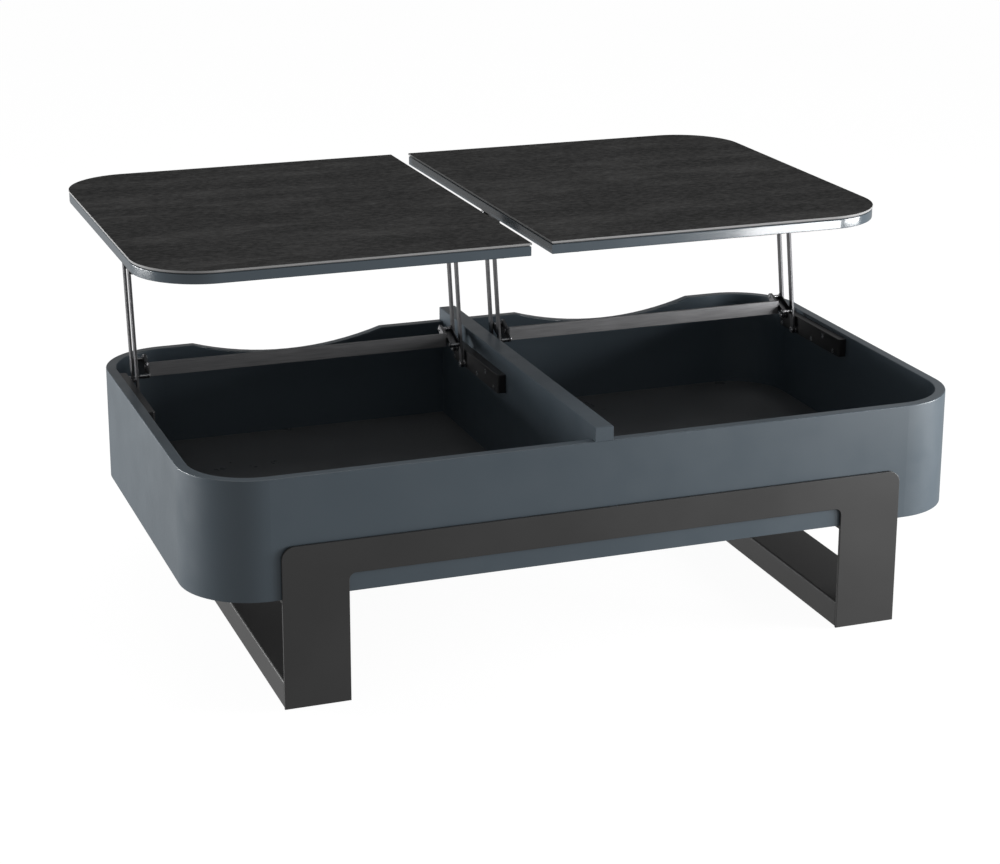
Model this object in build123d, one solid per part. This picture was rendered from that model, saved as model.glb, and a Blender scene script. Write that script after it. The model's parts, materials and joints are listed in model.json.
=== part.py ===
from build123d import *
import math
import os

# Lift top coffee table: a lacquered tub with two bays on U shaped steel legs,
# and two stone topped lids, each carried by four parallel arms.
# +Z is up, X runs along the table and the lids rise towards +Y.
# Everything is in millimetres and is drawn with both lids raised.

# ---------------------------------------------------------------- overall sizes
TUB_W = 1200.0  # length of the tub along X
TUB_D = 690.0  # depth of the tub along Y
CORNER_R = 107.3  # outer radius of the tub's four upright corners
TUB_BOTTOM = 165.8
RIM_Z = 343.2
WALL = 16.0  # thickness of the tub's walls
FLOOR_T = 18.7
RIM_ROUND = 1.5  # rounding along the rim
DIVIDER_W = 27.7
DIVIDER_UP = 21.3  # the divider stands this far above the rim
SCOOP_HALF = 159.0  # half the width of a finger scoop
SCOOP_DEEP = 24.3
SCOOP_AWAY = 212.7  # centre of each scoop from where a corner starts

# ------------------------------------------------------------------------- legs
GLIDE_H = 2.0
GLIDE_R = 14.0
GLIDE_FROM_END = 60.0
PLATE_T = 4.9
LEG_AWAY = 12.7  # outer side of a leg from where a corner starts
LEG_WIDE = 97.0
PLATE_UP = 77.9  # top of a plate above the tub's bottom
BAND_UP = 28.4  # underside of the band that joins the two legs of a plate
PLATE_ROUND_OUT = 19.0
PLATE_ROUND_IN = 10.0
RAIL_H = 41.0
RAIL_WALL = 2.5
STRAP_T = 4.9  # straps under the tub, between the two plates
STRAP_SCREWS = 4  # along each strap
STRAP_SCREW_END = 90.0  # first and last screw from the tub's faces
DOWEL_R = 4.0
DOWEL_LEN = 30.0
DOWEL_FIT = 0.05
DOWEL_IN = 10.0  # depth of a floor dowel in the wall
WALL_DOWEL_LOW = 49.2  # lower corner dowels above the tub's bottom
WALL_DOWEL_HIGH = 43.2  # upper corner dowels below the rim
FLOOR_DOWEL_OUT = 92.7  # outer floor dowels from where a corner starts
FLOOR_DOWEL_IN = 150.0  # inner floor dowels from the middle

# ------------------------------------------------------------------------- lids
LID_OVER = 1.7  # the lid stands this far beyond the tub's end
LID_OVER_Y = 1.2  # and this far beyond its long sides
LID_CLEAR = 2.0  # between a closed lid and the divider
BODY_T = 15.0
BOND_T = 1.8
SLAB_T = 3.5
BODY_INSET = 0.8
BOND_INSET = 3.0
REACH = 252.7  # how far a lid travels towards +Y
LID_RISE = 211.8  # and how far it rises
LID_REST = 1.5  # gap over the rim when a lid is down
PAD_T = 1.2
PAD_R = 4.0
PAD_FROM_END = 160.0
PAD_FROM_DIVIDER = 46.15

# -------------------------------------------------------------------- mechanism
LEAN = 9.8  # raised arms lean this far past upright, degrees
FRONT_Y = 520.7  # lower pivots, measured from the tub's plain face
FRONT_DOWN = 28.2  # and below the rim
REAR_Y = 560.2
REAR_DOWN = 11.7
ARM_AWAY = 19.4  # arm centre from the wall it hangs on
ARM_W = 4.0
ARM_D = 10.5
EYE_OVER = 1.25  # an arm's eye stands this far beyond its edges
ARM_EASE = 0.6  # broken edge along the arms
LINK_UP = 32.0  # link pins sit this far up the arms
LINK_W = 16.5
LINK_D = 9.0
LINK_T = 1.5
LINK_GAP = 0.5  # between arm and link, and between arm and lid bracket
PIN_R = 2.5
LINK_PIN_R = 2.4
LINK_HEAD_R = 3.8
LINK_HEAD_H = 1.5
HEAD_R = 5.0
HEAD_H = 1.8
BASE_HEAD_R = 3.6  # riveted end of a pin inside the base rail
SHOULDER_R = 5.5  # shoulder that keeps an arm off the base rail
PLAY = 0.3  # plain faces that pass each other
RUN_FIT = 0.05  # radial play of a turning pin
FIRM_FIT = 0.02
BASE_AWAY = 13.6  # face of the base rail from its wall
BASE_T = 2.0
BASE_DOWN = 5.7  # top of a base rail below the rim
BASE_H = 30.0
BASE_START = 368.0
BASE_END = 581.0
SCREW_R = 2.0
SCREW_HEAD_R = 4.0
SCREW_SINK = 2.0
SCREW_BITE = 10.0  # thread length in the wood
SLEEVE_R = 3.5
BASE_SCREWS_AT = ((464.5, 6.0), (424.5, 21.5), (388.0, 6.0), (572.0, 6.0))  # Y, and up the rail
BAR_DOWN = 2.2  # underside of a cross bar below the rim
BAR_H = 22.0
BAR_Y = 536.0
BAR_T = 4.0
TAB_W = 12.0  # tab that holds the cross bar to a link
RIVET_ALONG = 21.0  # rivet from the link's lower pin
RIVET_R = 1.6
RIVET_HEAD_R = 3.0
RIVET_HEAD_H = 1.1
BRACKET_T = 3.0
BRACKET_FRONT = 18.0  # bracket in front of its first pivot
BRACKET_BACK = 14.0  # and behind its second
BRACKET_DROP = 24.0  # and below its lower pivot
BRACKET_W = 32.0
SCREW_FROM_WEB = 14.0
SCREW_FROM_EDGE = 10.0
STUD_R = 4.0
STUD_DOWN = 17.0

# ------------------------------------------------------------ worked out from them
Y0 = -(TUB_D + LID_OVER_Y + REACH - PLATE_T) / 2  # plain face; origin under the middle
Y1 = Y0 + TUB_D
IN_X = TUB_W / 2 - WALL
IN_R = CORNER_R - WALL
HALF_DIV = DIVIDER_W / 2
FLOOR_Z = TUB_BOTTOM + FLOOR_T
DIVIDER_TOP = RIM_Z + DIVIDER_UP
FLAT_X = TUB_W / 2 - CORNER_R  # where the corners start
SCOOP_X = FLAT_X - SCOOP_AWAY
LEG_OUT = FLAT_X - LEG_AWAY
LEG_IN = LEG_OUT - LEG_WIDE
PLATE_TOP = TUB_BOTTOM + PLATE_UP
BAND_LOW = TUB_BOTTOM + BAND_UP
FRONT_Z = RIM_Z - FRONT_DOWN
REAR_Z = RIM_Z - REAR_DOWN
ARM_EYE = ARM_D / 2 + EYE_OVER
BASE_HIGH = RIM_Z - BASE_DOWN
BASE_LOW = BASE_HIGH - BASE_H
BASE_SCREWS = [(y, BASE_LOW + up) for y, up in BASE_SCREWS_AT]
BAR_LOW = RIM_Z - BAR_DOWN
BAR_HIGH = BAR_LOW + BAR_H
LID_UNDER = RIM_Z + LID_REST + LID_RISE
CHORD = math.hypot(REACH, LID_RISE)
CHORD_DEG = math.degrees(math.atan2(REACH, LID_RISE))
CLOSED_LEAN = 2 * CHORD_DEG - 180 - LEAN
ARM_LEN = CHORD / (2 * math.sin(math.radians((LEAN - CLOSED_LEAN) / 2)))
ALONG_Y = math.sin(math.radians(LEAN))
ALONG_Z = math.cos(math.radians(LEAN))
LOWER = ((Y0 + FRONT_Y, FRONT_Z), (Y0 + REAR_Y, REAR_Z))
UPPER = tuple((y + ARM_LEN * ALONG_Y, z + ARM_LEN * ALONG_Z) for y, z in LOWER)
LINK_PINS = tuple((y + LINK_UP * ALONG_Y, z + LINK_UP * ALONG_Z) for y, z in LOWER)
LINK_LEN = math.dist(LOWER[0], LOWER[1])
LINK_SLOPE = math.degrees(math.atan2(REAR_Z - FRONT_Z, REAR_Y - FRONT_Y))
LINK_START = ARM_AWAY + ARM_W / 2 + LINK_GAP
LINK_END = LINK_START + LINK_W
STRAP_LOW = TUB_BOTTOM - STRAP_T
SCOOP_R = (SCOOP_HALF**2 + SCOOP_DEEP**2) / (2 * SCOOP_DEEP)

# Each arm set hangs on a wall at x; "way" points from that wall into the bay.
SETS = {
    "left_outer": (-IN_X, 1),
    "left_inner": (-HALF_DIV, -1),
    "right_inner": (HALF_DIV, 1),
    "right_outer": (IN_X, -1),
}


# ------------------------------------------------------------------------ helpers
def block(x0, x1, y0, y1, z0, z1):
    middle = Pos((x0 + x1) / 2, (y0 + y1) / 2, (z0 + z1) / 2)
    return middle * Box(abs(x1 - x0), abs(y1 - y0), abs(z1 - z0))


def rod_x(x0, x1, y, z, r):
    return Pos((x0 + x1) / 2, y, z) * Rot(0, 90, 0) * Cylinder(r, abs(x1 - x0))


def rod_y(x, y0, y1, z, r):
    return Pos(x, (y0 + y1) / 2, z) * Rot(90, 0, 0) * Cylinder(r, abs(y1 - y0))


def rod_z(x, y, z0, z1, r):
    return Pos(x, y, (z0 + z1) / 2) * Cylinder(r, abs(z1 - z0))


def cut_all(body, tools):
    for tool in tools:
        body = body - tool
    return body


def one(body):
    """Return a single solid as a plain Solid, with no empty wrapping."""
    solids = body.solids()
    return solids[0] if len(solids) == 1 else Compound(children=list(solids))


def save(shape, node):
    export_step(shape, "parts/" + node + ".step")


def save_group(pieces, node):
    save(Compound(children=[one(p) for p in pieces]), node)


# ---------------------------------------------------------------------- tub panels
def rounded_plan(half_x, y_low, y_high, radius):
    """Rectangle with four round corners, as a sketch in the XY plane."""
    plan = RectangleRounded(2 * half_x, y_high - y_low, radius)
    return Pos(0, (y_low + y_high) / 2) * plan


def dowel_spots():
    """Ends of every dowel as (axis, fixed coordinates, from, to)."""
    spots = []
    reach = DOWEL_LEN / 2
    low_y = Y0 + WALL - DOWEL_IN
    high_y = Y1 - WALL + DOWEL_IN
    for z in (TUB_BOTTOM + WALL_DOWEL_LOW, RIM_Z - WALL_DOWEL_HIGH):
        for y in (Y0 + WALL / 2, Y1 - WALL / 2):
            for side in (-1, 1):
                spots.append(("x", y, z, side * FLAT_X - reach, side * FLAT_X + reach))
        spots.append(("y", 0.0, z, low_y, low_y + DOWEL_LEN))
        spots.append(("y", 0.0, z, high_y - DOWEL_LEN, high_y))
    z = TUB_BOTTOM + FLOOR_T / 2
    for side in (-1, 1):
        for x in (side * (FLAT_X - FLOOR_DOWEL_OUT), side * FLOOR_DOWEL_IN):
            spots.append(("y", x, z, low_y, low_y + DOWEL_LEN))
            spots.append(("y", x, z, high_y - DOWEL_LEN, high_y))
    return spots


def dowel(spot, grow):
    way, a, b, start, end = spot
    if way == "x":
        return rod_x(start - grow, end + grow, a, b, DOWEL_R + grow)
    return rod_y(a, start - grow, end + grow, b, DOWEL_R + grow)


def strap_screw_spots(side):
    """Where the screws of one strap stand, as (x, y)."""
    x = side * (LEG_IN + LEG_OUT) / 2
    step = (TUB_D - 2 * STRAP_SCREW_END) / (STRAP_SCREWS - 1)
    return [(x, Y0 + STRAP_SCREW_END + i * step) for i in range(STRAP_SCREWS)]


def base_screw_hole(x_wall, way, y, z):
    deep = x_wall - way * (SCREW_BITE + 0.5)
    return rod_x(deep, x_wall, Y0 + y, z, SCREW_R + FIRM_FIT)


def scoop_tool(x):
    centre_z = RIM_Z - SCOOP_DEEP + SCOOP_R
    return rod_y(x, Y1 - WALL - 5, Y1 + 5, centre_z, SCOOP_R)


def tub_ring():
    outer = rounded_plan(TUB_W / 2, Y0, Y1, CORNER_R)
    inner = rounded_plan(IN_X, Y0 + WALL, Y1 - WALL, IN_R)
    ring = Pos(0, 0, TUB_BOTTOM) * extrude(outer - inner, RIM_Z - TUB_BOTTOM)
    ring = cut_all(ring, [scoop_tool(-SCOOP_X), scoop_tool(SCOOP_X)])
    low = RIM_Z - SCOOP_DEEP - 1
    rim = ring.edges().filter_by(
        lambda e: e.bounding_box().min.Z > low and e.length > WALL + 1
    )
    return fillet(rim, RIM_ROUND)


def tub_panels():
    ring = tub_ring()
    big = TUB_W
    top = RIM_Z + 10
    bottom = TUB_BOTTOM - 10
    middle_y = (Y0 + Y1) / 2
    holes = [dowel(spot, DOWEL_FIT) for spot in dowel_spots()]
    z_parts = (bottom, top)
    plain = ring & block(-FLAT_X, FLAT_X, Y0 - 10, middle_y, *z_parts)
    scooped = ring & block(-FLAT_X, FLAT_X, middle_y, Y1 + 10, *z_parts)
    left = ring & block(-big, -FLAT_X, Y0 - 10, Y1 + 10, *z_parts)
    right = ring & block(FLAT_X, big, Y0 - 10, Y1 + 10, *z_parts)
    plain = cut_all(plain, holes)
    scooped = cut_all(scooped, holes)
    left = cut_all(left, holes)
    right = cut_all(right, holes)
    for y, z in BASE_SCREWS:
        left = left - base_screw_hole(*SETS["left_outer"], y, z)
        right = right - base_screw_hole(*SETS["right_outer"], y, z)
    return plain, scooped, left, right


def divider():
    low = block(-HALF_DIV, HALF_DIV, Y0 + WALL, Y1 - WALL, TUB_BOTTOM, RIM_Z)
    high = block(-HALF_DIV, HALF_DIV, Y0, Y1, RIM_Z, DIVIDER_TOP)
    body = low + high
    top = body.edges().filter_by(lambda e: e.bounding_box().min.Z > DIVIDER_TOP - 0.1)
    body = chamfer(top, 0.8)
    body = cut_all(body, [dowel(spot, DOWEL_FIT) for spot in dowel_spots()])
    for y, z in BASE_SCREWS:
        body = body - base_screw_hole(*SETS["left_inner"], y, z)
        body = body - base_screw_hole(*SETS["right_inner"], y, z)
    return body


def floor_panel(side):
    plan = rounded_plan(IN_X, Y0 + WALL, Y1 - WALL, IN_R)
    slab = Pos(0, 0, TUB_BOTTOM) * extrude(plan, FLOOR_T)
    x0, x1 = sorted((side * HALF_DIV, side * TUB_W))
    slab = slab & block(x0, x1, Y0, Y1, TUB_BOTTOM - 1, FLOOR_Z + 1)
    slab = cut_all(slab, [dowel(spot, DOWEL_FIT) for spot in dowel_spots()])
    top = TUB_BOTTOM + SCREW_BITE + 0.5
    pilots = [rod_z(x, y, TUB_BOTTOM - 1, top, SCREW_R + FIRM_FIT) for x, y in strap_screw_spots(side)]
    return cut_all(slab, pilots)


# ----------------------------------------------------------------------------- legs
def leg_plate(y_face, way):
    """U plate lying on the tub's long face; way points out of the table."""
    high = PLATE_TOP - GLIDE_H
    outline = Pos(0, GLIDE_H + high / 2) * Rectangle(2 * LEG_OUT, high)
    gap_high = BAND_LOW - GLIDE_H
    gap = Pos(0, GLIDE_H + gap_high / 2) * Rectangle(2 * LEG_IN, gap_high)
    outline = fillet(outline.vertices().group_by(Axis.Y)[-1], PLATE_ROUND_OUT)
    gap = fillet(gap.vertices().group_by(Axis.Y)[-1], PLATE_ROUND_IN)
    flat = extrude(outline - gap, PLATE_T / 2, both=True)
    plate = Pos(0, y_face + way * PLATE_T / 2, 0) * Rot(90, 0, 0) * flat
    faces = plate.faces().sort_by(Axis.Y)
    edges = [e for f in (faces[0], faces[-1]) for e in f.edges()]
    return chamfer(edges, 0.5)


def strap_screw(x, y, grow=0.0):
    """Countersunk wood screw, its head flush with the underside of the strap."""
    neck = STRAP_LOW + SCREW_SINK
    body = rod_z(x, y, neck - 0.5, TUB_BOTTOM + SCREW_BITE, SCREW_R + grow)
    body = body + Pos(x, y, (STRAP_LOW + neck) / 2) * Cone(SCREW_HEAD_R + grow, SCREW_R + grow, SCREW_SINK)
    if grow == 0.0:
        for tilt in (0, 90):
            body = body - Pos(x, y, STRAP_LOW + 0.6) * Rot(0, 0, tilt) * Box(3.4, 0.9, 1.4)
    return body


def leg_strap(side):
    """Flat bar under the tub, between the plates, that the tub is screwed down to."""
    x0, x1 = sorted((side * LEG_IN, side * LEG_OUT))
    bar = block(x0, x1, Y0, Y1, STRAP_LOW, TUB_BOTTOM)
    return cut_all(bar, [strap_screw(x, y, 0.2) for x, y in strap_screw_spots(side)])


def floor_rail(side):
    x0 = side * LEG_IN
    x1 = side * LEG_OUT
    middle = Pos((x0 + x1) / 2, (Y0 + Y1) / 2, GLIDE_H + RAIL_H / 2)
    wide = LEG_OUT - LEG_IN
    outer = RectangleRounded(wide, RAIL_H, 3.5)
    inner = RectangleRounded(wide - 2 * RAIL_WALL, RAIL_H - 2 * RAIL_WALL, 1.0)
    return middle * Rot(90, 0, 0) * extrude(outer - inner, TUB_D / 2, both=True)


def glide(x, y):
    return rod_z(x, y, 0, GLIDE_H, GLIDE_R)


# ------------------------------------------------------------------------ mechanism
def base_rail(name):
    x_wall, way = SETS[name]
    face = x_wall + way * BASE_AWAY
    y0 = Y0 + BASE_START
    y1 = Y0 + BASE_END
    shell = block(x_wall, face, y0, y1, BASE_LOW, BASE_HIGH)
    upright = shell.edges().filter_by(Axis.Z)
    corner = [e for e in upright if abs(e.center().X - face) < 0.1]
    shell = fillet(corner, 4.0)
    long_edges = [e for e in shell.edges().filter_by(Axis.Y) if abs(e.center().X - face) < 0.1]
    shell = fillet(long_edges, 1.2)
    x_parts = (x_wall - way, face - way * BASE_T)
    shell = shell - block(*x_parts, y0 + BASE_T, y1 - BASE_T, BASE_LOW + BASE_T, BASE_HIGH - BASE_T)
    for y, z in LOWER:
        shell = shell - rod_x(x_wall, face + way, y, z, PIN_R + FIRM_FIT)
    for y, z in BASE_SCREWS:
        shell = shell - screw(x_wall, way, Y0 + y, z, FIRM_FIT)
    return shell


def screw(x_wall, way, y, z, grow=0.0):
    """Countersunk wood screw, its head flush with the base rail's face."""
    face = x_wall + way * BASE_AWAY
    neck = face - way * SCREW_SINK
    shank = rod_x(x_wall - way * SCREW_BITE, neck + way * 0.5, y, z, SCREW_R + grow)
    turn = Rot(0, 90 * way, 0)
    cone = Cone(SCREW_R + grow, SCREW_HEAD_R + grow, SCREW_SINK)
    body = shank + Pos(face - way * SCREW_SINK / 2, y, z) * turn * cone
    if grow == 0.0:
        deep = face - way * 1.3
        for tilt in (0, 90):
            slot = Pos((face + deep) / 2, y, z) * Rot(tilt, 0, 0) * Box(1.3, 3.4, 0.9)
            body = body - slot
    return body


def sleeve(x_wall, way, y, z):
    inner = x_wall + way * (BASE_AWAY - BASE_T)
    tube = rod_x(x_wall, inner, y, z, SLEEVE_R)
    return tube - rod_x(x_wall - way, inner + way, y, z, SCREW_R + 0.15)


def base_pin(x_wall, way, y, z):
    """Shouldered rivet: its shoulder keeps the arm off the rail, its collar keeps it on."""
    back = x_wall + way * (BASE_AWAY - BASE_T)
    face = x_wall + way * BASE_AWAY
    front = x_wall + way * (ARM_AWAY + ARM_W / 2 + PLAY)
    shank = rod_x(back - way * 0.5, front + way * 0.5, y, z, PIN_R)
    head = rod_x(back - way * HEAD_H, back, y, z, BASE_HEAD_R)
    shoulder = rod_x(face, x_wall + way * (ARM_AWAY - ARM_W / 2 - PLAY), y, z, SHOULDER_R)
    collar = rod_x(front, front + way * HEAD_H, y, z, HEAD_R)
    side = collar.faces().sort_by(Axis.X)[-1 if way > 0 else 0].edges()
    return shank + head + shoulder + fillet(side, 0.9)


def arm(name, which):
    """Flat bar with a round eye at each pin; the link's eye is the bar's own width."""
    x_wall, way = SETS[name]
    y, z = LOWER[which]
    bar = block(-ARM_W / 2, ARM_W / 2, -ARM_D / 2, ARM_D / 2, 0, ARM_LEN)
    bar = chamfer(bar.edges().filter_by(Axis.Z), ARM_EASE)
    for at in (0, ARM_LEN):
        bar = bar + rod_x(-ARM_W / 2, ARM_W / 2, 0, at, ARM_EYE)
        bar = bar - rod_x(-ARM_W, ARM_W, 0, at, PIN_R + RUN_FIT)
    bar = bar - rod_x(-ARM_W, ARM_W, 0, LINK_UP, LINK_PIN_R + RUN_FIT)
    return Pos(x_wall + way * ARM_AWAY, y, z) * Rot(-LEAN, 0, 0) * bar


def link(name):
    """Short open channel that joins the two arms of one set."""
    x_wall, way = SETS[name]
    y, z = LINK_PINS[0]
    half = LINK_W / 2
    body = block(-half, half, -LINK_D / 2, LINK_D / 2, 0, LINK_LEN)
    body = body + rod_x(-half, half, 0, 0, LINK_D / 2) + rod_x(-half, half, 0, LINK_LEN, LINK_D / 2)
    inside = half - LINK_T
    body = body - block(-inside, inside, -LINK_D, LINK_D / 2 - LINK_T, -LINK_D, LINK_LEN + LINK_D)
    for at in (0, LINK_LEN):
        body = body - rod_x(-LINK_W, LINK_W, 0, at, LINK_PIN_R + FIRM_FIT)
    middle = x_wall + way * (LINK_START + half)
    body = Pos(middle, y, z) * Rot(LINK_SLOPE - 90, 0, 0) * body
    return body - rivet_hole(name)


def link_pin(name, which):
    """The rear pin is longer, because it also goes through the cross bar's tab."""
    x_wall, way = SETS[name]
    y, z = LINK_PINS[which]
    start = x_wall + way * (ARM_AWAY - ARM_W / 2 + PLAY)
    end = x_wall + way * (LINK_END + which * BAR_T)
    head = rod_x(end, end + way * LINK_HEAD_H, y, z, LINK_HEAD_R)
    side = head.faces().sort_by(Axis.X)[-1 if way > 0 else 0].edges()
    return rod_x(start, end + way * 0.5, y, z, LINK_PIN_R) + fillet(side, 0.8)


def rivet_spot():
    """The rivet sits on the link's centre line, behind the cross bar."""
    turn = math.radians(LINK_SLOPE)
    y, z = LINK_PINS[0]
    return (y + RIVET_ALONG * math.cos(turn), z + RIVET_ALONG * math.sin(turn))


def rivet_hole(name):
    x_wall, way = SETS[name]
    middle = x_wall + way * LINK_END
    return rod_x(middle - way * 3, middle + way * (BAR_T + 2), *rivet_spot(), RIVET_R + FIRM_FIT)


def rivet(name):
    x_wall, way = SETS[name]
    inside = x_wall + way * (LINK_END - LINK_T)
    outside = x_wall + way * (LINK_END + BAR_T)
    body = rod_x(inside, outside, *rivet_spot(), RIVET_R)
    body = body + rod_x(inside - way * RIVET_HEAD_H, inside, *rivet_spot(), RIVET_HEAD_R)
    head = rod_x(outside, outside + way * RIVET_HEAD_H, *rivet_spot(), RIVET_HEAD_R)
    return body + head


def cross_bar_tab(name):
    """Plate along the inner side of a link, from the cross bar back to the rear link pin."""
    x_wall, way = SETS[name]
    y, z = LINK_PINS[0]
    start = (BAR_Y + Y0 + BAR_T / 2 - y) / math.cos(math.radians(LINK_SLOPE))
    plate = block(0, way * BAR_T, -TAB_W / 2, TAB_W / 2, start, LINK_LEN)
    plate = plate + rod_x(0, way * BAR_T, 0, LINK_LEN, TAB_W / 2)
    plate = plate - rod_x(-2 * BAR_T, 2 * BAR_T, 0, LINK_LEN, LINK_PIN_R + FIRM_FIT)
    return Pos(x_wall + way * LINK_END, y, z) * Rot(LINK_SLOPE - 90, 0, 0) * plate


def cross_bar(names):
    ends = sorted(SETS[n][0] + SETS[n][1] * LINK_END for n in names)
    y = Y0 + BAR_Y
    bar = block(ends[0], ends[1], y, y + BAR_T, BAR_LOW, BAR_HIGH)
    corners = [e for e in bar.edges().filter_by(Axis.Z) if abs(e.center().Y - y) < 0.1]
    bar = fillet(corners, BAR_T - 0.5)
    for name in names:
        bar = bar + cross_bar_tab(name)
    return cut_all(bar, [rivet_hole(name) for name in names])


# ----------------------------------------------------------------------------- lids
def lid_plan(side, inset):
    """Outline of one raised lid: round corners outside, square ones at the middle."""
    outer = TUB_W / 2 + LID_OVER - inset
    y_low = Y0 - LID_OVER_Y + REACH + inset
    y_high = Y1 + LID_OVER_Y + REACH - inset
    radius = CORNER_R + LID_OVER - inset
    plan = rounded_plan(outer, y_low, y_high, radius)
    near = side * (HALF_DIV + LID_CLEAR + inset)
    far = side * TUB_W
    cut_box = Pos((near + far) / 2, (y_low + y_high) / 2)
    return plan & (cut_box * Rectangle(abs(far - near), 2 * TUB_D))


def lid_screw_spots(name):
    x_wall, way = SETS[name]
    first = UPPER[0][0] - BRACKET_FRONT + SCREW_FROM_EDGE
    last = UPPER[1][0] + BRACKET_BACK - SCREW_FROM_EDGE
    x = x_wall + way * (LINK_START + BRACKET_T + SCREW_FROM_WEB)
    return [(x, y) for y in (first, (first + last) / 2, last)]


def lid_body(side, names):
    plan = lid_plan(side, BODY_INSET)
    body = Pos(0, 0, LID_UNDER) * extrude(plan, BODY_T)
    body = chamfer(body.faces().sort_by(Axis.Z)[0].edges(), 0.8)
    for name in names:
        for x, y in lid_screw_spots(name):
            body = body - rod_z(x, y, LID_UNDER - 1, LID_UNDER + SCREW_BITE + 0.5, SCREW_R + FIRM_FIT)
    return body


def lid_bond(side):
    return Pos(0, 0, LID_UNDER + BODY_T) * extrude(lid_plan(side, BOND_INSET), BOND_T)


def lid_slab(side):
    slab = Pos(0, 0, LID_UNDER + BODY_T + BOND_T) * extrude(lid_plan(side, 0), SLAB_T)
    return chamfer(slab.faces().sort_by(Axis.Z)[-1].edges(), 0.5)


def lid_bracket(name):
    x_wall, way = SETS[name]
    x0 = x_wall + way * LINK_START
    y0 = UPPER[0][0] - BRACKET_FRONT
    y1 = UPPER[1][0] + BRACKET_BACK
    z0 = UPPER[0][1] - BRACKET_DROP
    upright = block(x0, x0 + way * BRACKET_T, y0, y1, z0, LID_UNDER)
    lower = upright.edges().filter_by(Axis.X).group_by(Axis.Z)[0]
    upright = fillet(lower, 8.0)
    flat = block(x0, x0 + way * BRACKET_W, y0, y1, LID_UNDER - BRACKET_T, LID_UNDER)
    body = upright + flat
    for y, z in UPPER:
        body = body - rod_x(x0 - way, x0 + way * (BRACKET_T + 1), y, z, PIN_R + FIRM_FIT)
    stud_y, stud_z = stud_spot()
    body = body - rod_x(x0 - way, x0 + way * (BRACKET_T + 1), stud_y, stud_z, 2.0 + FIRM_FIT)
    for x, y in lid_screw_spots(name):
        body = body - rod_z(x, y, LID_UNDER - BRACKET_T - 1, LID_UNDER + 1, SCREW_R + 0.2)
    return body


def lid_pin(name, which):
    """Shouldered rivet through an arm's upper eye into the lid bracket."""
    x_wall, way = SETS[name]
    y, z = UPPER[which]
    near = x_wall + way * (ARM_AWAY - ARM_W / 2 - PLAY)
    far = x_wall + way * (LINK_START + BRACKET_T)
    body = rod_x(near, far, y, z, PIN_R)
    body = body + rod_x(near - way * HEAD_H, near, y, z, HEAD_R)
    return body + rod_x(far, far + way * HEAD_H, y, z, HEAD_R)


def stud_spot():
    """The raised front arm leans back on this stud."""
    y, z = UPPER[0]
    off = ARM_D / 2 + STUD_R + PLAY
    return (y - STUD_DOWN * ALONG_Y - off * ALONG_Z, z - STUD_DOWN * ALONG_Z + off * ALONG_Y)


def stop_stud(name):
    x_wall, way = SETS[name]
    y, z = stud_spot()
    start = x_wall + way * (ARM_AWAY - ARM_W / 2)
    end = x_wall + way * LINK_START
    body = rod_x(start, end, y, z, STUD_R)
    return body + rod_x(end, end + way * (BRACKET_T + 1.5), y, z, 2.0)


def lid_screw(x, y):
    under = LID_UNDER - BRACKET_T
    body = rod_z(x, y, under - 0.5, LID_UNDER + SCREW_BITE, SCREW_R)
    head = rod_z(x, y, under - 2.4, under, SCREW_HEAD_R)
    head = fillet(head.faces().sort_by(Axis.Z)[0].edges(), 1.2)
    for tilt in (0, 90):
        head = head - Pos(x, y, under - 2.0) * Rot(0, 0, tilt) * Box(3.4, 0.9, 1.4)
    return body + head


def pad_spots(side):
    """Four pads a lid, over the middle of the tub's walls when the lid is down."""
    outer = side * (TUB_W / 2 - WALL / 2)
    inner = side * (HALF_DIV + PAD_FROM_DIVIDER)
    return [
        (outer, Y0 + PAD_FROM_END + REACH),
        (outer, Y1 - PAD_FROM_END + REACH),
        (inner, Y0 + WALL / 2 + REACH),
        (inner, Y1 - WALL / 2 + REACH),
    ]


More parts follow.
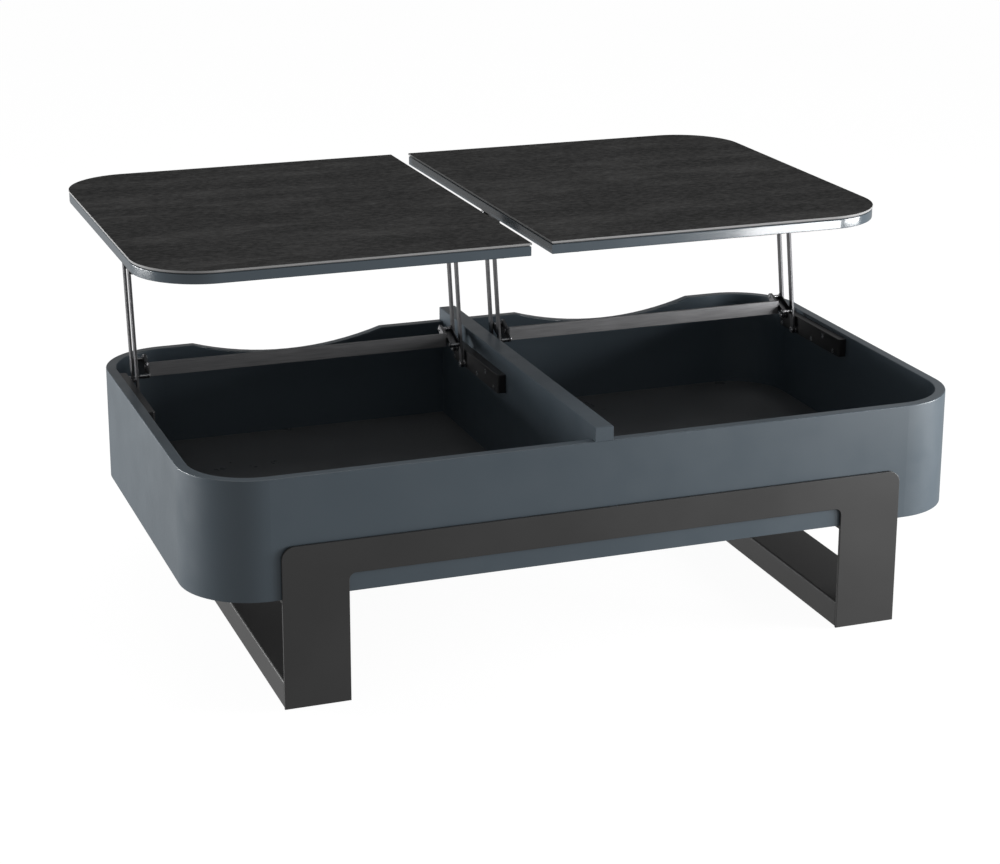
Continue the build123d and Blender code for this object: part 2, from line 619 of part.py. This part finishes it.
# ---------------------------------------------------------------------------- build
def main():
    os.makedirs("parts", exist_ok=True)

    plain, scooped, left, right = tub_panels()
    save(one(plain), "tub_wall_plain")
    save(one(scooped), "tub_wall_scooped")
    save(one(left), "tub_end_left")
    save(one(right), "tub_end_right")
    save(one(divider()), "centre_divider")
    save(one(floor_panel(-1)), "floor_panel_left")
    save(one(floor_panel(1)), "floor_panel_right")
    save_group([dowel(spot, 0.0) for spot in dowel_spots()], "tub_dowels")

    save(one(leg_plate(Y0, -1)), "leg_plate_plain_side")
    save(one(leg_plate(Y1, 1)), "leg_plate_scooped_side")
    save(one(floor_rail(-1)), "floor_rail_left")
    save(one(floor_rail(1)), "floor_rail_right")
    rail_x = (LEG_IN + LEG_OUT) / 2
    spots = [(x, y) for x in (-rail_x, rail_x) for y in (Y0 + GLIDE_FROM_END, Y1 - GLIDE_FROM_END)]
    save_group([glide(x, y) for x, y in spots], "glides")
    save(one(leg_strap(-1)), "leg_strap_left")
    save(one(leg_strap(1)), "leg_strap_right")
    strap_screws = [strap_screw(x, y) for side in (-1, 1) for x, y in strap_screw_spots(side)]
    save_group(strap_screws, "strap_screws")

    screw_at = [(*SETS[n], Y0 + y, z) for n in SETS for y, z in BASE_SCREWS]
    save_group([screw(*at) for at in screw_at], "base_rail_screws")
    save_group([sleeve(*at) for at in screw_at], "base_rail_sleeves")
    save_group([base_pin(*SETS[n], y, z) for n in SETS for y, z in LOWER], "base_pins")
    for name in SETS:
        save(one(base_rail(name)), "base_rail_" + name)
        save(one(arm(name, 0)), "front_arm_" + name)
        save(one(arm(name, 1)), "rear_arm_" + name)
        save(one(link(name)), "link_" + name)
        save(one(lid_bracket(name)), "lid_bracket_" + name)

    for word, side in (("left", -1), ("right", 1)):
        names = [n for n in SETS if n.startswith(word)]
        save(one(lid_body(side, names)), "lid_body_" + word)
        save(one(lid_bond(side)), "lid_bond_" + word)
        save(one(lid_slab(side)), "lid_slab_" + word)
        save(one(cross_bar(names)), "cross_bar_" + word)
        save_group([rivet(n) for n in names], "cross_bar_rivets_" + word)
        save_group([link_pin(n, i) for n in names for i in (0, 1)], "link_pins_" + word)
        save_group([lid_pin(n, i) for n in names for i in (0, 1)], "lid_pins_" + word)
        save_group([stop_stud(n) for n in names], "stop_studs_" + word)
        screws = [lid_screw(x, y) for n in names for x, y in lid_screw_spots(n)]
        save_group(screws, "lid_screws_" + word)
        pads = [rod_z(x, y, LID_UNDER - PAD_T, LID_UNDER, PAD_R) for x, y in pad_spots(side)]
        save_group(pads, "rim_pads_" + word)


main()
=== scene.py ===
# %% [markdown]
# # Lift top coffee table
#
# A lacquered storage tub stands on two U shaped steel plates, and two stone
# topped lids swing up and towards the scooped long side on parallel arms. The
# measured model is loaded first and never changes. Every step after it adds either
# a finish, which is what light sees, or a piece whose small roundings the measured
# model lacks.

# %% Load the measured model
import json
import math

import bmesh
import bpy
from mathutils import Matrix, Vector


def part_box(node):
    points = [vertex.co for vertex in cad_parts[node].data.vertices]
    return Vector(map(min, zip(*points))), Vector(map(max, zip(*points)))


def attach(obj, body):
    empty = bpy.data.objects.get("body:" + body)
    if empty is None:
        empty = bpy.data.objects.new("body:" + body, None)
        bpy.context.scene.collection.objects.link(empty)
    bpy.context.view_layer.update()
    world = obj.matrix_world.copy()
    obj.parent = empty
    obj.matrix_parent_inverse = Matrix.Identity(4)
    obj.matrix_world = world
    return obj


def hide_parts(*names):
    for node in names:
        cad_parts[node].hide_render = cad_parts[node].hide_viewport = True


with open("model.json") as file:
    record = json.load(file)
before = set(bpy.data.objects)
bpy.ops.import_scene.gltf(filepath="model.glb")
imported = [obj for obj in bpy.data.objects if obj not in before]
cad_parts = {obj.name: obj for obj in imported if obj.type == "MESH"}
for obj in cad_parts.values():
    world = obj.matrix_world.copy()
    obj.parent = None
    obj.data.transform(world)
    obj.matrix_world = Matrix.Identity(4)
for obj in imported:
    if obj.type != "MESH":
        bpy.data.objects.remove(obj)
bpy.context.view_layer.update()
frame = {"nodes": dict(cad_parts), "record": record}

nodes = frame["nodes"]
print("measured nodes:", len(nodes))

# %% [markdown]
# ## The camera
#
# A camera could be aimed with a Track To constraint, but then its tilt depends on
# a target. Here its place and its two turns are set directly: it stands in front
# and to the left, a little above the lids, and looks down by 16.5 degrees. A long
# lens keeps the upright edges nearly parallel. The small shifts slide the picture
# on the sensor without tilting the camera, as a view camera's back does.

# %% Camera
EYE_PLACE = (-1.2467, -3.4165, 1.4182)
LOOK_DOWN = 0.2887
LOOK_RIGHT = 0.3446
LENS = 85.05
SENSOR = 36.0
SLIDE = (0.0201, -0.0758)

eye = bpy.data.cameras.new("studio_camera")
eye.sensor_width = SENSOR
eye.lens = LENS
eye.shift_x = SLIDE[0]
eye.shift_y = SLIDE[1]
camera = bpy.data.objects.new("studio_camera", eye)
bpy.context.scene.collection.objects.link(camera)
camera.location = EYE_PLACE
camera.rotation_euler = (math.pi / 2 - LOOK_DOWN, 0.0, -LOOK_RIGHT)
bpy.context.scene.camera = camera
print("camera to table centre:", round(camera.location.length, 2), "m")

# %% [markdown]
# ## The studio
#
# A product studio is a white floor, a dim surround and a few large soft lamps. One
# bare sun would give hard shadows inside the tub. Large area lamps give the
# lacquer broad soft reflections, and those reflections are what show its curves:
# a low wide lamp on the left for the tub's end, one above for the lids, an upright
# panel at the right for the near corner, and a narrow strip close to the floor that
# only the right lid's front edge mirrors. The floor glows by itself and hides from
# reflections, so it stays white without lighting the tub from below.

# %% Floor and surround
WHITE = (1, 1, 1, 1)
SURROUND_STRENGTH = 0.32
FLOOR_HALF = 20.0

scene = bpy.context.scene
scene.view_settings.view_transform = "Standard"
surround = bpy.data.worlds.new("studio_surround")
scene.world = surround
surround.use_nodes = True
background = surround.node_tree.nodes["Background"]
background.inputs["Color"].default_value = WHITE
background.inputs["Strength"].default_value = SURROUND_STRENGTH


def add_floor(half):
    bpy.ops.object.select_all(action="DESELECT")
    bpy.ops.mesh.primitive_plane_add(size=2 * half, location=(0, 0, 0))
    floor = bpy.context.object
    floor.name = "studio_floor"
    floor.visible_diffuse = False
    floor.visible_glossy = False
    return floor


floor = add_floor(FLOOR_HALF)
print("floor spans", floor.dimensions.x, "m")


# %% Lamps
def add_lamp(name, place, aim, width, height, power):
    lamp = bpy.data.lights.new(name, "AREA")
    lamp.shape = "RECTANGLE"
    lamp.size = width
    lamp.size_y = height
    lamp.energy = power
    holder = bpy.data.objects.new(name, lamp)
    scene.collection.objects.link(holder)
    holder.location = place
    towards = Vector(aim) - Vector(place)
    holder.rotation_euler = towards.to_track_quat("-Z", "Y").to_euler()
    return holder


lamps = [
    # name, place, what it is aimed at, width, height, watts
    add_lamp("left_softbox", (-2.9, 1.2, 0.32), (-0.5, 0, 0.26), 2.2, 0.55, 96),
    add_lamp("top_softbox", (0.3, 1.0, 3.0), (0, 0, 0.3), 2.6, 1.6, 22),
    add_lamp("right_panel", (2.4, -1.20, 0.50), (0.60, -0.30, 0.36), 1.3, 0.9, 84),
    add_lamp("edge_strip", (1.45, -1.85, 0.13), (0.50, -0.22, 0.56), 0.55, 0.20, 9),
]
print("lamps:", [lamp.name for lamp in lamps])

# %% [markdown]
# ## Finishes
#
# Each finish is a small network of nodes. Patterns read Object coordinates, which
# are metres here, so a noise scale of 300 gives marks about 3 mm across whatever
# the piece's size. A single flat colour looks like plastic: a real coating varies a
# little in colour, in gloss and in height, and those three are driven separately.


# %% Helpers for finishes
def new_finish(name):
    finish = bpy.data.materials.new(name)
    finish.use_nodes = True
    tree = finish.node_tree
    place = tree.nodes.new("ShaderNodeTexCoord").outputs["Object"]
    return finish, tree, tree.nodes["Principled BSDF"], place


def stretched(tree, place, scale):
    mapping = tree.nodes.new("ShaderNodeMapping")
    mapping.inputs["Scale"].default_value = scale
    tree.links.new(place, mapping.inputs["Vector"])
    return mapping.outputs["Vector"]


def noise(tree, place, scale, detail=3.0, roughness=0.5):
    made = tree.nodes.new("ShaderNodeTexNoise")
    tree.links.new(place, made.inputs["Vector"])
    made.inputs["Scale"].default_value = scale
    made.inputs["Detail"].default_value = detail
    made.inputs["Roughness"].default_value = roughness
    return made.outputs["Fac"]


def ranged(tree, value, low, high, to_low, to_high):
    made = tree.nodes.new("ShaderNodeMapRange")
    tree.links.new(value, made.inputs["Value"])
    limits = {"From Min": low, "From Max": high, "To Min": to_low, "To Max": to_high}
    for socket, number in limits.items():
        made.inputs[socket].default_value = number
    return made.outputs["Result"]


def coloured(tree, value, stops):
    made = tree.nodes.new("ShaderNodeValToRGB")
    tree.links.new(value, made.inputs["Fac"])
    for index, (at, colour) in enumerate(stops):
        stop = made.color_ramp.elements[index] if index < 2 else made.color_ramp.elements.new(at)
        stop.position = at
        stop.color = (*colour, 1.0)
    return made.outputs["Color"]


def mixed(tree, share, first, second):
    made = tree.nodes.new("ShaderNodeMix")
    made.data_type = "RGBA"
    factor, first_colour, second_colour = made.inputs[0], made.inputs[6], made.inputs[7]
    for socket, value in ((factor, share), (first_colour, first), (second_colour, second)):
        if isinstance(value, bpy.types.NodeSocket):
            tree.links.new(value, socket)
        else:
            socket.default_value = value
    return made.outputs[2]


def tinted(tree, shader, value, dark, light, low=0.3):
    """Let a pattern move the colour between two close shades."""
    shade = coloured(tree, value, [(low, dark), (0.7, light)])
    tree.links.new(shade, shader.inputs["Base Color"])


def glossed(tree, shader, value, smooth, dull):
    """Let a pattern move the roughness between two values."""
    gloss = ranged(tree, value, 0.3, 0.7, smooth, dull)
    tree.links.new(gloss, shader.inputs["Roughness"])


def raised(tree, shader, value, depth, strength):
    """Let a pattern raise the surface by a depth in metres."""
    made = tree.nodes.new("ShaderNodeBump")
    made.inputs["Distance"].default_value = depth
    made.inputs["Strength"].default_value = strength
    tree.links.new(value, made.inputs["Height"])
    tree.links.new(made.outputs["Normal"], shader.inputs["Normal"])


def dress(finish, *starts):
    """Give a finish to every measured node whose name starts with one of the words."""
    dressed = [name for name in nodes if name.startswith(starts)]
    for name in dressed:
        for holder in nodes[name].material_slots:
            holder.material = finish
    print(finish.name, "on", len(dressed), "nodes")


# %% [markdown]
# ### Sprayed lacquer
#
# The tub and the lids' bodies are fibreboard, sprayed blue grey and left satin. A
# sprayed coat dries with a faint orange peel a few millimetres across, and wiping
# leaves slow changes in gloss. Both are noise: fine noise into the bump, broad
# noise into the roughness. The colour itself hardly changes. The lids are handled
# most, so their lacquer is rubbed to a higher gloss than the tub's.


# %% Lacquer
def make_lacquer(name, smooth, dull, coat):
    finish, tree, shader, place = new_finish(name)
    broad = noise(tree, place, 3.0, 4.0)
    tinted(tree, shader, broad, (0.060, 0.080, 0.098), (0.068, 0.090, 0.109))
    glossed(tree, shader, noise(tree, place, 18.0, 5.0), smooth, dull)
    raised(tree, shader, noise(tree, place, 380.0, 2.0), 0.00012, 0.25)
    shader.inputs["Coat Weight"].default_value = coat
    shader.inputs["Coat Roughness"].default_value = smooth / 2
    return finish


lacquer = make_lacquer("blue_grey_lacquer", 0.32, 0.42, 0.15)
dress(lacquer, "tub_wall", "tub_end", "centre_divider")
lid_lacquer = make_lacquer("rubbed_lid_lacquer", 0.18, 0.26, 0.6)
dress(lid_lacquer, "lid_body")


# %% [markdown]
# ### Bay floors
#
# The bay floors are a dark grey laminate with a satin sheen. Laminate takes dust
# and fine scuffs, so its gloss varies more than its colour does.


# %% Floor laminate
def make_laminate():
    finish, tree, shader, place = new_finish("charcoal_laminate")
    broad = noise(tree, place, 9.0, 6.0, 0.6)
    tinted(tree, shader, broad, (0.130, 0.132, 0.137), (0.165, 0.167, 0.172), low=0.35)
    glossed(tree, shader, broad, 0.26, 0.40)
    raised(tree, shader, noise(tree, place, 900.0, 2.0), 0.0001, 0.3)
    return finish


laminate = make_laminate()
dress(laminate, "floor_panel")


# %% [markdown]
# ### Sintered stone
#
# The tops are thin slabs of dark sintered stone: charcoal with soft paler clouds
# drawn out along the slab, small flecks, and a matt face that is rough to the touch.
# Clouds come from noise stretched along X. The slab's edges carry a painted highlight:
# the finish looks at which way the surface faces, and sideways faces are painted pale
# grey as if catching light, while faces looking up keep the stone.
# the face, sideways is the edge.


# %% Stone
# painted highlight: a pale grey that stands in for light caught on the slab's edges
EDGE_PAINTED_HIGHLIGHT = (0.32, 0.32, 0.32, 1)
FLECK_SHARE = 0.42


def make_stone():
    finish, tree, shader, place = new_finish("charcoal_stone")
    clouds = noise(tree, stretched(tree, place, (2.2, 7.0, 7.0)), 2.4, 9.0, 0.68)
    flecks = noise(tree, stretched(tree, place, (90.0, 160.0, 160.0)), 1.0, 6.0, 0.75)
    shades = [
        (0.36, (0.007, 0.007, 0.007)),
        (0.50, (0.019, 0.0188, 0.0185)),
        (0.66, (0.056, 0.055, 0.054)),
    ]
    dark = coloured(tree, clouds, shades)
    pale = coloured(tree, flecks, [(0.42, (0.005, 0.005, 0.005)), (0.68, (0.085, 0.084, 0.083))])
    face = mixed(tree, FLECK_SHARE, dark, pale)
    facing = tree.nodes.new("ShaderNodeNewGeometry")
    split = tree.nodes.new("ShaderNodeSeparateXYZ")
    tree.links.new(facing.outputs["Normal"], split.inputs["Vector"])
    up = ranged(tree, split.outputs["Z"], 0.55, 0.85, 0.0, 1.0)
    # sideways faces take the painted highlight, faces looking up take the stone
    tree.links.new(mixed(tree, up, EDGE_PAINTED_HIGHLIGHT, face), shader.inputs["Base Color"])
    tree.links.new(ranged(tree, flecks, 0.35, 0.7, 0.72, 0.6), shader.inputs["Roughness"])
    shader.inputs["Specular IOR Level"].default_value = 0.12
    raised(tree, shader, flecks, 0.0003, 0.35)
    return finish


stone = make_stone()
dress(stone, "lid_slab")


# %% [markdown]
# ### Powder coat
#
# The leg plates and floor rails are steel under a dark grey powder coat. Powder
# melts into tiny rounded grains under a millimetre wide, which break every
# reflection up softly. Voronoi cells make grains better than noise does, because
# they have edges.


# %% Powder coat
def grains(tree, place, scale):
    made = tree.nodes.new("ShaderNodeTexVoronoi")
    made.feature = "SMOOTH_F1"
    made.inputs["Scale"].default_value = scale
    tree.links.new(place, made.inputs["Vector"])
    return made.outputs["Distance"]


def make_powder_coat(name, dark, light, rough):
    finish, tree, shader, place = new_finish(name)
    broad = noise(tree, place, 6.0, 5.0)
    tinted(tree, shader, broad, dark, light)
    glossed(tree, shader, broad, rough - 0.04, rough + 0.05)
    raised(tree, shader, grains(tree, place, 1100.0), 0.00015, 0.35)
    return finish


leg_coat = make_powder_coat(
    "anthracite_powder_coat", dark=(0.030, 0.030, 0.030), light=(0.036, 0.036, 0.036), rough=0.42
)
dress(leg_coat, "leg_plate", "leg_strap", "floor_rail")
black_coat = make_powder_coat(
    "black_hardware_coat", dark=(0.009, 0.009, 0.010), light=(0.014, 0.014, 0.015), rough=0.38
)
dress(black_coat, "base_rail_left", "base_rail_right", "lid_bracket", "strap_screws", "lid_screws")


# %% [markdown]
# ### Arm steel and pins
#
# The arms, links and cross bars are rolled steel with a dark oxide, so their
# gloss has fine lines along the way they were rolled: noise squeezed hard across
# that way and hardly along it. The cross bars are rougher than the arms and lie
# along X. Pins, rivets and the arm rails' screws are bright zinc, with no way at all.


# %% Metals
def make_lined(name, dark, light, rough, stretch, depth, metallic=1.0):
    """A surface with fine lines: the stretch is large across them, small along them."""
    finish, tree, shader, place = new_finish(name)
    lines = noise(tree, stretched(tree, place, stretch), 1.0, 5.0, 0.6)
    tinted(tree, shader, lines, dark, light)
    glossed(tree, shader, lines, rough - 0.07, rough + 0.07)
    shader.inputs["Metallic"].default_value = metallic
    raised(tree, shader, lines, depth, 0.3)
    return finish


ALONG_Z = (900, 900, 30)
ALONG_X = (20, 900, 900)
NO_WAY = (400, 400, 400)

arm_steel = make_lined(
    "oxide_arm_steel", (0.10, 0.10, 0.105), (0.16, 0.16, 0.165), rough=0.36, stretch=ALONG_Z, depth=0.00008
)
dress(arm_steel, "front_arm", "rear_arm", "link_left", "link_right")
bar_steel = make_lined(
    "oxide_bar_steel", (0.19, 0.19, 0.195), (0.27, 0.27, 0.275), rough=0.52, stretch=ALONG_X, depth=0.00008
)
dress(bar_steel, "cross_bar_left", "cross_bar_right")
zinc = make_lined(
    "bright_zinc", (0.52, 0.52, 0.53), (0.66, 0.66, 0.67), rough=0.28, stretch=NO_WAY, depth=0.00005
)
dress(zinc, "base_pins", "link_pins", "lid_pins", "cross_bar_rivets")
dress(zinc, "base_rail_sleeves", "base_rail_screws")


# %% [markdown]
# ### Rubber, felt, glue and beech
#
# The small parts are seldom seen, but each has its own surface: rubber is matt and
# faintly pitted, felt is fibrous, the glue line is smooth, and a beech dowel
# has grain, which the metals' squeezed noise draws just as well.


# %% Small finishes
def make_soft(name, dark, light, rough, scale, depth):
    finish, tree, shader, place = new_finish(name)
    pits = noise(tree, place, scale, 6.0, 0.65)
    tinted(tree, shader, pits, dark, light)
    glossed(tree, shader, pits, rough - 0.06, rough + 0.06)
    raised(tree, shader, pits, depth, 0.5)
    return finish


rubber = make_soft("black_rubber", (0.012, 0.012, 0.012), (0.022, 0.022, 0.022), 0.7, 700.0, 0.0002)
dress(rubber, "rim_pads", "stop_studs")
felt = make_soft("dark_felt", (0.020, 0.020, 0.021), (0.050, 0.050, 0.052), 0.92, 2400.0, 0.0006)
dress(felt, "glides")
glue = make_soft("grey_glue_line", (0.070, 0.074, 0.078), (0.090, 0.095, 0.100), 0.6, 200.0, 0.0001)
dress(glue, "lid_bond")
beech = make_lined(
    "beech_dowel",
    (0.42, 0.29, 0.17),
    (0.56, 0.41, 0.26),
    rough=0.6,
    stretch=(60, 60, 400),
    depth=0.0001,
    metallic=0.0,
)
dress(beech, "tub_dowels")


# %% [markdown]
# ## Pieces modelled here
#
# The measured model has the right sizes, but its edges are sharp or nearly so. A real
# edge never is: its small rounding catches a thin line of light, and that line tells
# the eye how thick a board or a plate is. The boards and plates that are looked at
# most are therefore modelled again at the measured size, as by hand: a flat outline
# first, its corners bevelled as points, then thickness, then a small bevel round
# both faces. Rounding the corners before the thickness keeps the large and the small
# roundings apart, so no bevel has to cross another.


# %% Modelling helpers
CORNER_STEPS = 28
ARRIS_STEPS = 3
SMOOTH_BELOW = math.radians(40)
SAME_PLACE = 1e-5
FLAT_WITHIN = math.radians(1)

bodies = frame["record"]["behaviour"]["bodies"]
body_of_node = {node: body for body, held in bodies.items() for node in held}


def corners(node):
    """The lowest and the highest corner of a node's box."""
    low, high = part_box(node)
    return Vector(low), Vector(high)


def near(value, wanted):
    return abs(value - wanted) < SAME_PLACE


def pick(piece, kind, test):
    """In edit mode, select only the points, edges or faces that pass the test."""
    bpy.ops.mesh.select_mode(type=kind)
    bpy.ops.mesh.select_all(action="DESELECT")
    shape = bmesh.from_edit_mesh(piece.data)
    for item in {"VERT": shape.verts, "EDGE": shape.edges, "FACE": shape.faces}[kind]:
        item.select_set(test(item))
    bmesh.update_edit_mesh(piece.data)


def start_outline(name, middle, width, height, upright=False):
    """Add a flat sheet, lying or upright, and open it in edit mode."""
    bpy.ops.object.select_all(action="DESELECT")
    tilt = (math.pi / 2, 0, 0) if upright else (0, 0, 0)
    bpy.ops.mesh.primitive_plane_add(size=1.0, location=middle, rotation=tilt)
    piece = bpy.context.object
    piece.name = name
    piece.scale = (width, height, 1)
    bpy.ops.object.transform_apply(location=True, rotation=True, scale=True)
    bpy.ops.object.mode_set(mode="EDIT")
    return piece


def round_corners(piece, radius, test):
    pick(piece, "VERT", test)
    bpy.ops.mesh.bevel(offset=radius, segments=CORNER_STEPS, profile=0.5, affect="VERTICES")


def thicken(piece, axis, distance, arris):
    """Push the outline through along an axis, then ease the edges of both faces."""
    step = [0.0, 0.0, 0.0]
    step[axis] = distance
    bpy.ops.mesh.select_all(action="SELECT")
    bpy.ops.mesh.extrude_region_move(TRANSFORM_OT_translate={"value": step})
    bpy.ops.mesh.select_all(action="SELECT")
    bpy.ops.mesh.normals_make_consistent(inside=False)
    pick(piece, "EDGE", lambda edge: near(edge.verts[0].co[axis], edge.verts[1].co[axis]))
    bpy.ops.mesh.bevel(offset=arris, segments=ARRIS_STEPS, profile=0.5, affect="EDGES")


def finish_piece(piece, node, finish):
    """Close edit mode, smooth the small roundings, and stand the piece for its node.

    Smoothing alone would bend the light across the large flats as well, so the
    normals are weighted by area: flats stay flat and the roundings take the turn.
    """
    bpy.ops.object.mode_set(mode="OBJECT")
    bpy.ops.object.shade_smooth_by_angle(angle=SMOOTH_BELOW)
    weighted = piece.modifiers.new("flat_faces", "WEIGHTED_NORMAL")
    weighted.keep_sharp = True
    bpy.ops.object.modifier_apply(modifier=weighted.name)
    piece.data.materials.clear()
    piece.data.materials.append(finish)
    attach(piece, body_of_node[node])
    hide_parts(node)
    return piece


# %% [markdown]
# ### Lid boards
#
# A lid is two boards of the same outline, a thin stone over a thick lacquered core.
# Only the two corners at the tub's end are round, because the other two meet the
# divider. The core is drawn in by less than a millimetre, so the stone overhangs it.


# %% Lid boards
LID_CORNER = 0.109
CORE_INSET = 0.0008
BOARDS = [
    # node, piece, corner radius, arris, finish, slot
    ("lid_slab", "stone_top", LID_CORNER, 0.0007, stone, "stone"),
    ("lid_body", "lid_board", LID_CORNER - CORE_INSET, 0.0012, lid_lacquer, "lid_lacquer"),
]


def make_board(node, name, radius, arris, finish):
    low, high = corners(node)
    middle = (low + high) / 2
    outer = 1 if middle.x > 0 else -1
    board = start_outline(name, (middle.x, middle.y, low.z), high.x - low.x, high.y - low.y)
    round_corners(board, radius, lambda point: (point.co.x - middle.x) * outer > 0)
    thicken(board, 2, high.z - low.z, arris)
    return finish_piece(board, node, finish)


for side in ("left", "right"):
    for start, word, radius, arris, finish, slot in BOARDS:
        board = make_board(f"{start}_{side}", f"{word}_{side}", radius, arris, finish)
        print(board.name, len(board.data.polygons), "faces")


# %% [markdown]
# ### Leg plates
#
# Each plate is one sheet with an opening cut from below. Bisecting the outline
# along the opening's three edges gives the faces to delete, and the corners are
# bevelled last, the outer ones wide and the inner ones tight.


# %% Leg plates
PLATE_OUTER_CORNER = 0.019
PLATE_INNER_CORNER = 0.010
BAND_UNDERSIDE = 0.1942  # height above the floor
PLATE_ARRIS = 0.0008


def make_leg_plate(node, name):
    low, high = corners(node)
    middle = (low + high) / 2
    inner = corners("leg_strap_right")[0].x
    width = high.x - low.x
    height = high.z - low.z
    plate = start_outline(name, (middle.x, low.y, middle.z), width, height, upright=True)

    opening = [
        ((inner, 0, 0), (1, 0, 0)),
        ((-inner, 0, 0), (1, 0, 0)),
        ((0, 0, BAND_UNDERSIDE), (0, 0, 1)),
    ]
    for at, towards in opening:
        bpy.ops.mesh.select_all(action="SELECT")
        bpy.ops.mesh.bisect(plane_co=at, plane_no=towards)

    def in_opening(face):
        centre = face.calc_center_median()
        return abs(centre.x) < inner and centre.z < BAND_UNDERSIDE

    def outer_corner(point):
        return near(abs(point.co.x), high.x) and near(point.co.z, high.z)

    def inner_corner(point):
        return near(abs(point.co.x), inner) and near(point.co.z, BAND_UNDERSIDE)

    pick(plate, "FACE", in_opening)
    bpy.ops.mesh.delete(type="FACE")
    bpy.ops.mesh.select_all(action="SELECT")
    bpy.ops.mesh.dissolve_limited(angle_limit=FLAT_WITHIN)
    round_corners(plate, PLATE_OUTER_CORNER, outer_corner)
    round_corners(plate, PLATE_INNER_CORNER, inner_corner)
    thicken(plate, 1, high.y - low.y, PLATE_ARRIS)
    return finish_piece(plate, node, leg_coat)


for word in ("plain", "scooped"):
    plate = make_leg_plate(f"leg_plate_{word}_side", f"leg_frame_{word}_side")
    print(plate.name, len(plate.data.polygons), "faces")


# %% [markdown]
# ### Smaller pieces with eased edges
#
# Stampings are tumbled, pins are turned and rubber is moulded, so none of them has
# a sharp edge either. Each is shaped from a merged copy of its measured node: flat
# facets dissolve into whole faces first, because a bevel needs clean edges, and then
# a narrow bevel runs along everything sharper than 40 degrees. The bevel may not
# grow past its neighbours, or small faces would turn inside out.


# %% Eased pieces
def ease_edges(node, name, arris, finish):
    """Shape a piece from a merged copy of its measured node."""
    piece = bpy.data.objects.new(name, nodes[node].data.copy())
    scene.collection.objects.link(piece)
    bpy.ops.object.select_all(action="DESELECT")
    piece.select_set(True)
    bpy.context.view_layer.objects.active = piece
    bpy.ops.object.mode_set(mode="EDIT")
    bpy.ops.mesh.select_all(action="SELECT")
    bpy.ops.mesh.remove_doubles(threshold=SAME_PLACE)
    bpy.ops.mesh.dissolve_limited(angle_limit=FLAT_WITHIN)
    bpy.ops.object.mode_set(mode="OBJECT")
    rounding = piece.modifiers.new("arris", "BEVEL")
    rounding.width = arris
    rounding.segments = ARRIS_STEPS - 1
    rounding.limit_method = "ANGLE"
    rounding.angle_limit = SMOOTH_BELOW
    rounding.use_clamp_overlap = True
    bpy.ops.object.modifier_apply(modifier=rounding.name)
    return finish_piece(piece, node, finish)


EASED = [
    # start of the node's name, what the piece is called instead, arris, finish, slot
    ("centre_divider", "divider_board", 0.0006, lacquer, "tub_lacquer"),
    ("leg_strap", "strap", 0.0006, leg_coat, "leg_coating"),
    ("floor_rail", "leg_foot", 0.0010, leg_coat, "leg_coating"),
    ("base_rail_left", "arm_rail_left", 0.0004, black_coat, "black_steel"),
    ("base_rail_right", "arm_rail_right", 0.0004, black_coat, "black_steel"),
    ("link_left", "arm_link_left", 0.0003, arm_steel, "black_steel"),
    ("link_right", "arm_link_right", 0.0003, arm_steel, "black_steel"),
    ("cross_bar_left", "sync_bar_left", 0.0003, bar_steel, "black_steel"),
    ("cross_bar_right", "sync_bar_right", 0.0003, bar_steel, "black_steel"),
    ("base_pins", "arm_pins", 0.0007, zinc, "bright_pins"),
    ("link_pins", "link_rivets", 0.0006, zinc, "bright_pins"),
    ("lid_pins", "lid_rivets", 0.0006, zinc, "bright_pins"),
    ("cross_bar_rivets", "bar_rivets", 0.0005, zinc, "bright_pins"),
    ("rim_pads", "rim_bumpers", 0.0004, rubber, "rubber"),
    ("stop_studs", "stop_bumpers", 0.0008, rubber, "rubber"),
    ("glides", "felt_glides", 0.0006, felt, "felt"),
]
eased = []
for start, word, arris, finish, slot in EASED:
    for node in [name for name in nodes if name.startswith(start)]:
        name = node.replace(start, word)
        eased.append(ease_edges(node, name, arris, finish))
print("eased pieces:", len(eased), "faces:", sum(len(piece.data.polygons) for piece in eased))


# %% [markdown]
# ### The lit floor
#
# A white floor lit only by lamps turns grey away from them, and its grey would show
# behind the table. A photographer lights a translucent table from below. The same is
# done here with a little emission, and the small part of the brightness that still
# comes from the lamps leaves a faint shadow at the feet.


# %% Studio floor
def make_floor_finish():
    finish, tree, shader, place = new_finish("lit_white_table")
    broad = noise(tree, place, 0.8, 3.0)
    tinted(tree, shader, broad, (0.10, 0.10, 0.10), (0.11, 0.11, 0.11))
    shader.inputs["Roughness"].default_value = 0.9
    shader.inputs["Specular IOR Level"].default_value = 0.0
    shader.inputs["Emission Color"].default_value = WHITE
    shader.inputs["Emission Strength"].default_value = 0.955
    return finish


floor.data.materials.append(make_floor_finish())
